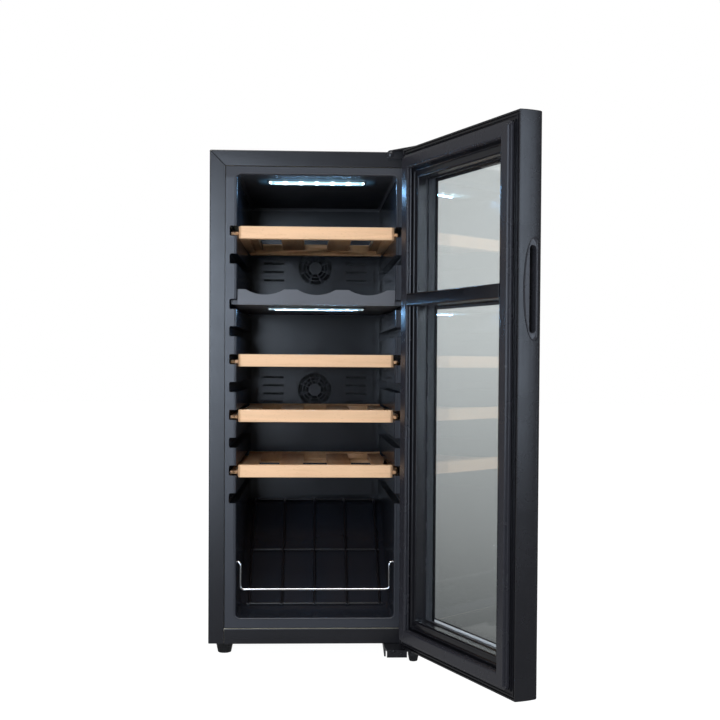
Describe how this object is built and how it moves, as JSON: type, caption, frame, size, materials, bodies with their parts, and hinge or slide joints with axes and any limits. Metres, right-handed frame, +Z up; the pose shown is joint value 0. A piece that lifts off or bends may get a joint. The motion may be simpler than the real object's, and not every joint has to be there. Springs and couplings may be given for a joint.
{
  "type": "wine cooler",
  "caption": "Tall narrow two-zone wine cooler with a glazed hinged door, pull-out beech shelves, lit interior, compressor bay at the rear and short feet.",
  "frame": {"origin": "centre of the bottom of the bounding box, on the floor, with the door standing open as stored", "axes": "+X to the right seen from the front, +Y to the back, +Z up; the door is hinged at the right"},
  "size_m": [0.4718, 0.8026, 0.8226],
  "materials": {
    "satin_black_steel": "satin black powder coat, fine grain",
    "black_liner": "vacuum-formed black plastic, semi-gloss",
    "black_plastic": "moulded black plastic, fine texture",
    "door_profile": "satin graphite coating",
    "grey_plastic": "dark grey moulded plastic",
    "seal_rubber": "soft black magnetic seal",
    "foot_rubber": "black rubber, slightly worn",
    "beech": "light beech, fine grain, clear matt lacquer",
    "chrome_wire": "bright chrome plating",
    "smoked_glass": "lightly smoked, coated",
    "spacer_aluminium": "satin anodised, perforated",
    "galvanised_steel": "zinc coated",
    "copper_tube": "bare copper, dulled",
    "pu_foam": "rigid foam",
    "lamp_diffuser": "frosted diffuser over cold white LEDs",
    "compressor_black": "gloss black enamel"
  },
  "bodies": {
    "cabinet": {"outer_shell": "satin_black_steel", "bottom_front_strip": "satin_black_steel", "base_plate": "satin_black_steel", "rear_panel": "satin_black_steel", "bay_cover": "satin_black_steel", "top_hinge_bracket": "satin_black_steel", "top_hinge_screw_left": "satin_black_steel", "top_hinge_screw_right": "satin_black_steel", "bottom_hinge_bracket": "satin_black_steel", "bottle_rest_rack": "satin_black_steel", "inner_liner": "black_liner", "upper_duct_panel": "black_liner", "lower_duct_panel": "black_liner", "condenser_fan_shroud": "black_plastic", "evaporation_tray": "black_plastic", "control_box": "black_plastic", "mains_inlet": "black_plastic", "upper_lamp_housing": "black_plastic", "lower_lamp_housing": "black_plastic", "zone_divider": "grey_plastic", "hinge_foot": "foot_rubber", "front_left_foot": "foot_rubber", "rear_left_foot": "foot_rubber", "rear_right_foot": "foot_rubber", "bottle_stop_wire": "chrome_wire", "bay_panel": "galvanised_steel", "compressor_base": "galvanised_steel", "upper_evaporator": "galvanised_steel", "lower_evaporator": "galvanised_steel", "top_hinge_pin": "galvanised_steel", "bottom_hinge_pin": "galvanised_steel", "condenser": "copper_tube", "insulation_foam": "pu_foam", "upper_lamp_lens": "lamp_diffuser", "lower_lamp_lens": "lamp_diffuser", "compressor": "compressor_black"},
    "door": {"door_frame": "door_profile", "door_inner_frame": "black_plastic", "outer_glass": "smoked_glass", "inner_glass": "smoked_glass", "glazing_spacer": "spacer_aluminium", "door_gasket": "seal_rubber", "mullion_bar": "black_plastic", "handle_insert": "black_plastic", "upper_hinge_bush": "black_plastic", "lower_hinge_bush": "black_plastic"},
    "shelf_1": {"shelf_1_front_rail": "beech", "shelf_1_rack": "beech"},
    "shelf_2": {"shelf_2_front_rail": "beech", "shelf_2_rack": "beech"},
    "shelf_3": {"shelf_3_front_rail": "beech", "shelf_3_rack": "beech"},
    "shelf_4": {"shelf_4_front_rail": "beech", "shelf_4_rack": "beech"},
    "upper_fan_rotor": {"upper_duct_fan": "black_plastic"},
    "lower_fan_rotor": {"lower_duct_fan": "black_plastic"},
    "condenser_fan_rotor": {"condenser_fan": "black_plastic"}
  },
  "joints": [
    {"name": "door_hinge", "type": "hinge", "parent": "cabinet", "child": "door", "pos_m": [0.09743, -0.08471, 0.418], "axis": [0, 0, 1], "range_deg": [-112.4, 17.6]},
    {"name": "shelf_1_slide", "type": "slide", "parent": "cabinet", "child": "shelf_1", "axis": [0, -1, 0], "range_m": [0, 0.09]},
    {"name": "shelf_2_slide", "type": "slide", "parent": "cabinet", "child": "shelf_2", "axis": [0, -1, 0], "range_m": [0, 0.09]},
    {"name": "shelf_3_slide", "type": "slide", "parent": "cabinet", "child": "shelf_3", "axis": [0, -1, 0], "range_m": [0, 0.09]},
    {"name": "shelf_4_slide", "type": "slide", "parent": "cabinet", "child": "shelf_4", "axis": [0, -1, 0], "range_m": [0, 0.09]},
    {"name": "upper_fan_spin", "type": "hinge", "parent": "cabinet", "child": "upper_fan_rotor", "pos_m": [-0.06337, 0.34219, 0.66], "axis": [0, 1, 0], "continuous": true},
    {"name": "lower_fan_spin", "type": "hinge", "parent": "cabinet", "child": "lower_fan_rotor", "pos_m": [-0.06337, 0.34219, 0.425], "axis": [0, 1, 0], "continuous": true},
    {"name": "condenser_fan_spin", "type": "hinge", "parent": "cabinet", "child": "condenser_fan_rotor", "pos_m": [-0.10336, 0.31969, 0.086], "axis": [1, 0, 0], "continuous": true}
  ]
}
